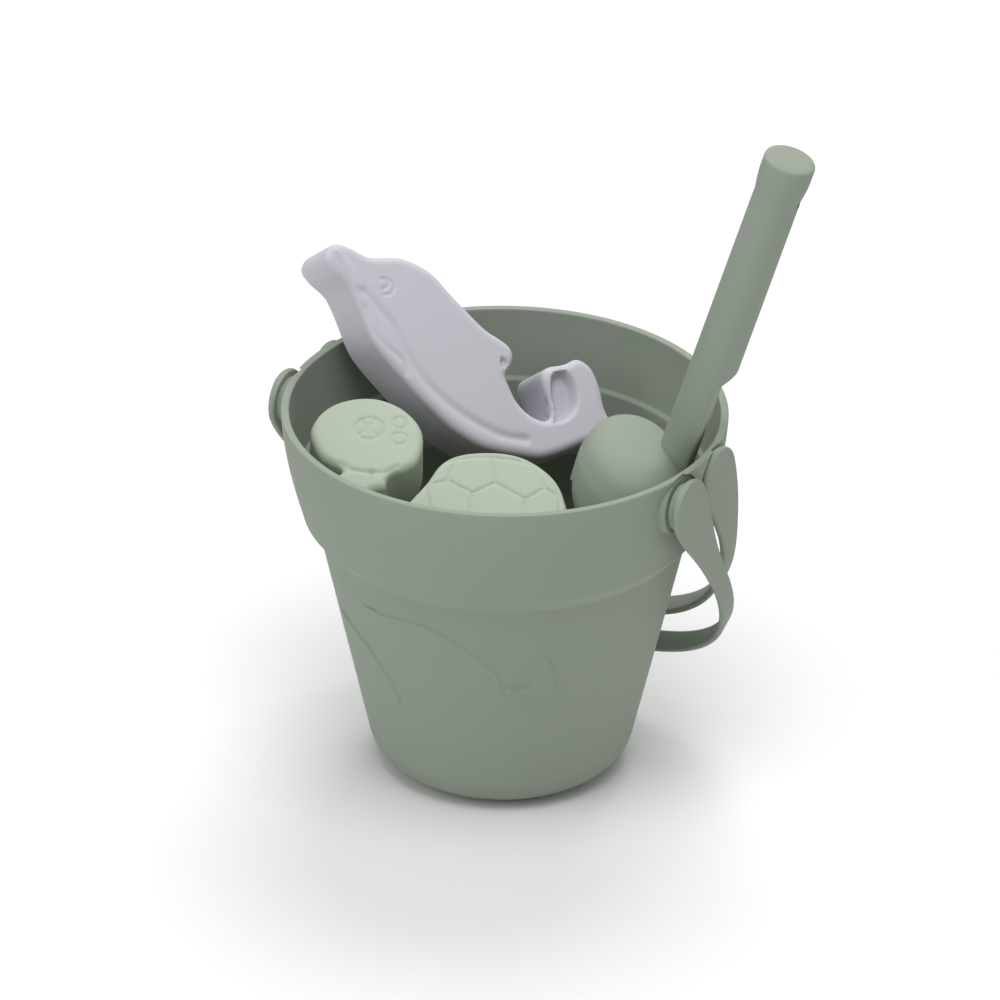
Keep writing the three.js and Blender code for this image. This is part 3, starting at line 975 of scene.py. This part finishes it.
def make_mould(name, outline, height, face, sizes, location, turns, spacing=0.62):
    """A hollow mould, open at the back, worked in millimetres and then placed.

    The face is a function of place inside the outline: the mould's height, less a quarter circle near
    the edge, plus the drawn relief. The side is the outline carried straight down, and the wall goes
    inwards.
    """
    trial = flowing(outline, 400, True)
    around = np.linalg.norm(np.diff(trial, axis=0), axis=1).sum()
    count = int(round(around / BORDER_SPACING))
    border = flowing(outline, count, True)
    edge = sizes.edge / MM
    tangent = np.roll(border, -1, 0) - np.roll(border, 1, 0)
    tangent /= np.linalg.norm(tangent, axis=1, keepdims=True)
    inward = np.stack([-tangent[:, 1], tangent[:, 0]], -1)
    x, y = border.T
    area = 0.5 * np.sum(x * np.roll(y, -1) - y * np.roll(x, -1))
    inward *= np.sign(area)
    rings = [border + inward * step * edge for step in EDGE_RINGS]
    steps = np.repeat(np.array(EDGE_RINGS) * edge, count)
    near = np.concatenate(rings)
    near = near[(distance(near, border, True) > steps * 0.985 - 0.005) & inside(near, border)]
    low, high = border.min(0), border.max(0)
    grid_x, grid_y = np.meshgrid(
        np.arange(low[0], high[0], spacing), np.arange(low[1], high[1], spacing), indexing="ij"
    )
    grid_y = grid_y + (np.arange(len(grid_x)) % 2)[:, None] * spacing / 2
    field = np.stack([grid_x.ravel(), grid_y.ravel()], -1)
    field = field[inside(field, border)]
    field = field[distance(field, border, True) > edge + spacing * 0.4]
    spots = np.concatenate([border, near, field])
    ends = np.stack([np.arange(count), (np.arange(count) + 1) % count], -1)
    flat, _, triangles, *_ = delaunay_2d_cdt(
        [Vector(spot) for spot in spots], ends.tolist(), [], 1, 1e-6
    )
    flat = np.array([tuple(spot) for spot in flat])
    from_edge = distance(flat, border, True)
    short = np.clip(edge - from_edge, 0, edge)
    tall = height / MM
    drop = edge - np.sqrt(edge**2 - short**2)
    lift = tall - drop + face(flat) * ease(from_edge, 0.3, 2.2)
    lid = np.concatenate([flat, lift[:, None]], 1)
    levels = np.linspace(tall - edge, 0, SIDE_LEVELS)
    columns = np.repeat(border[None], SIDE_LEVELS, 0)
    side = np.concatenate([columns, np.repeat(levels[:, None, None], count, 1)], -1).reshape(-1, 3)
    quads = grid_faces(SIDE_LEVELS, count, around=True) + len(lid)
    if area > 0:
        quads = quads[:, ::-1]
    faces = [*map(list, triangles), *quads.tolist()]
    piece = new_piece(name, np.concatenate([lid, side]) * MM, faces)
    sew(piece, outwards=False)
    thicken(piece, sizes.wall)
    turn, pitch, roll = map(math.radians, turns)
    put(piece, location, Euler((roll, pitch, turn), "XYZ"))
    return soften(piece, 46)


# ---- operators ----


class BUCKETSET_OT_bucket(bpy.types.Operator):
    """Make the bucket's wall, bosses and bores."""

    bl_idname = "bucketset.bucket"
    bl_label = "Bucket"

    def execute(self, context):
        piece = make_bucket(context.scene.bucket_sizes)
        hand_over(piece, "bucket", "bucket_body", finish_of("sage_silicone"))
        return {"FINISHED"}


class BUCKETSET_OT_handles(bpy.types.Operator):
    """Make both strap handles with their studs."""

    bl_idname = "bucketset.handles"
    bl_label = "Handles"

    def execute(self, context):
        sizes = context.scene.bucket_handles
        back_inner = boss_face(context.scene.bucket_sizes) + sizes.gap
        front_inner = back_inner + sizes.thickness + sizes.gap
        front = make_handle(
            "front_strap", sizes, front_inner, back_inner, sizes.front_reach, sizes.front_straight,
            sizes.front_bow, sizes.front_hang, FRONT_PIVOT,
        )
        back = make_handle(
            "back_strap", sizes, back_inner, back_inner, sizes.back_reach, sizes.back_straight,
            sizes.back_bow, sizes.back_hang, BACK_PIVOT,
        )
        finish = finish_of("sage_silicone")
        hand_over(front, "front_handle", "front_handle_body", finish)
        hand_over(back, "back_handle", "back_handle_body", finish)
        return {"FINISHED"}


class BUCKETSET_OT_spade(bpy.types.Operator):
    """Make the spade."""

    bl_idname = "bucketset.spade"
    bl_label = "Spade"

    def execute(self, context):
        piece = make_spade(context.scene.bucket_spade)
        hand_over(piece, "spade", "spade_body", finish_of("sage_silicone"))
        return {"FINISHED"}


class BUCKETSET_OT_moulds(bpy.types.Operator):
    """Make the dolphin, octopus, turtle and star moulds."""

    bl_idname = "bucketset.moulds"
    bl_label = "Sand moulds"

    def execute(self, context):
        sizes = context.scene.bucket_moulds
        star = star_outline(sizes.star_reach)
        moulds = [
            ("dolphin", DOLPHIN, dolphin_face, (26, 33.8, 43), "lilac_silicone"),
            ("octopus", OCTOPUS, octopus_face, (29, 0, 21), "pale_sage_silicone"),
            ("turtle", TURTLE, turtle_face, (29, 0, 24), "pale_sage_silicone"),
            ("star", star, star_face, (8, 0, 80), "ochre_silicone"),
        ]
        for name, outline, face, turns, slot in moulds:
            height = getattr(sizes, name + "_height")
            location = getattr(sizes, name + "_place")
            piece = make_mould(name + "_shell", outline, height, face, sizes, location, turns)
            hand_over(piece, name + "_mould", name + "_body", finish_of(slot))
        return {"FINISHED"}


class BUCKETSET_OT_stage(bpy.types.Operator):
    """Make the floor, the lights and the camera."""

    bl_idname = "bucketset.stage"
    bl_label = "Stage"

    def execute(self, context):
        make_floor(context.scene.bucket_colours.floor)
        make_lights()
        make_camera()
        return {"FINISHED"}


# ---- stage ----


def make_floor(tone):
    """A wide plain floor."""
    half = 12.0
    across = np.linspace(-half, half, 9)
    x, y = np.meshgrid(across, across, indexing="ij")
    points = np.stack([x, y, 0 * x - 0.0002], -1)
    floor = new_piece("floor", points, grid_faces(9, 9)[:, ::-1])
    shader = Shader("pale_floor")
    where = shader.add("ShaderNodeTexCoord", output="Object")
    haze = shader.add("ShaderNodeTexNoise", {}, {"Vector": where, "Scale": 3, "Detail": 2})
    shade = shader.add(
        "ShaderNodeMix",
        {"data_type": "RGBA"},
        {0: haze, 6: [c * 0.99 for c in tone] + [1], 7: [*tone, 1]},
        output=2,
    )
    surface = shader.add("ShaderNodeBsdfPrincipled", {}, {"Base Color": shade, "Roughness": 0.85})
    floor.data.materials.append(shader.finish(surface))


def make_lights():
    """Soft light from above and the front, a weaker fill, and an even pale surround."""
    bpy.context.scene.view_settings.view_transform = "Standard"
    world = bpy.data.worlds.new("surround")
    bpy.context.scene.world = world
    world.use_nodes = True
    world.node_tree.nodes["Background"].inputs["Color"].default_value = (1, 1, 1, 1)
    world.node_tree.nodes["Background"].inputs["Strength"].default_value = 0.42
    lamps = [
        ("key", (0.35, -0.55, 1.85), 1.2, 17),
        ("fill", (-0.9, -1.3, 0.8), 1.2, 5),
        ("top", (-0.3, 1.0, 1.6), 1.2, 17),
    ]
    for name, location, size, power in lamps:
        light = bpy.data.lights.new(name, "AREA")
        light.shape = "DISK"
        light.size = size
        light.energy = power
        lamp = bpy.data.objects.new(name, light)
        lamp.location = location
        towards = Vector((0, 0, 0.08)) - Vector(location)
        lamp.rotation_euler = towards.to_track_quat("-Z", "Y").to_euler()
        bpy.context.scene.collection.objects.link(lamp)


def make_camera():
    """A long lens from a little above, to the right of the front."""
    distance_back = 6
    azimuth, elevation, tilt = math.radians(29), math.radians(28.46), math.radians(0.64)
    target = Vector((-0.00126, -0.0007, 0.1084))
    back = Vector(
        (
            math.sin(azimuth) * math.cos(elevation),
            -math.cos(azimuth) * math.cos(elevation),
            math.sin(elevation),
        )
    )
    lens = bpy.data.cameras.new("view")
    lens.lens = 574.5
    lens.sensor_width = 36
    lens.clip_end = 100
    camera = bpy.data.objects.new("view", lens)
    camera.location = target + back * distance_back
    turn = (-back).to_track_quat("-Z", "Y").to_matrix().to_4x4()
    camera.rotation_euler = (turn @ Matrix.Rotation(tilt, 4, "Z")).to_euler()
    bpy.context.scene.collection.objects.link(camera)
    bpy.context.scene.camera = camera


class BUCKETSET_PT_panel(bpy.types.Panel):
    """Lists the set's operators and sizes."""

    bl_idname = "BUCKETSET_PT_panel"
    bl_label = "Bucket Set"
    bl_space_type = "VIEW_3D"
    bl_region_type = "UI"
    bl_category = "Bucket Set"

    def draw(self, context):
        layout = self.layout
        for operator in OPERATORS:
            layout.operator(operator.bl_idname)
        for group in GROUPS:
            box = layout.box()
            settings = getattr(context.scene, group)
            for key in settings.bl_rna.properties.keys():
                if key not in ("rna_type", "name"):
                    box.prop(settings, key)


GROUPS = {
    "bucket_sizes": BucketSizes,
    "bucket_handles": HandleSizes,
    "bucket_spade": SpadeSizes,
    "bucket_moulds": MouldSizes,
    "bucket_colours": FinishColours,
}
OPERATORS = [
    BUCKETSET_OT_stage,
    BUCKETSET_OT_bucket,
    BUCKETSET_OT_handles,
    BUCKETSET_OT_spade,
    BUCKETSET_OT_moulds,
]


def register():
    """Adds the property groups, the operators and the panel."""
    for group, kind in GROUPS.items():
        bpy.utils.register_class(kind)
        setattr(bpy.types.Scene, group, bpy.props.PointerProperty(type=kind))
    for kind in [*OPERATORS, BUCKETSET_PT_panel]:
        bpy.utils.register_class(kind)


def unregister():
    """Removes what register added."""
    for kind in [BUCKETSET_PT_panel, *reversed(OPERATORS)]:
        bpy.utils.unregister_class(kind)
    for group, kind in reversed(GROUPS.items()):
        delattr(bpy.types.Scene, group)
        bpy.utils.unregister_class(kind)


def main():
    """Makes the whole set."""
    register()
    for name in ("stage", "bucket", "handles", "spade", "moulds"):
        getattr(bpy.ops.bucketset, name)()


if __name__ == "__main__":
    main()
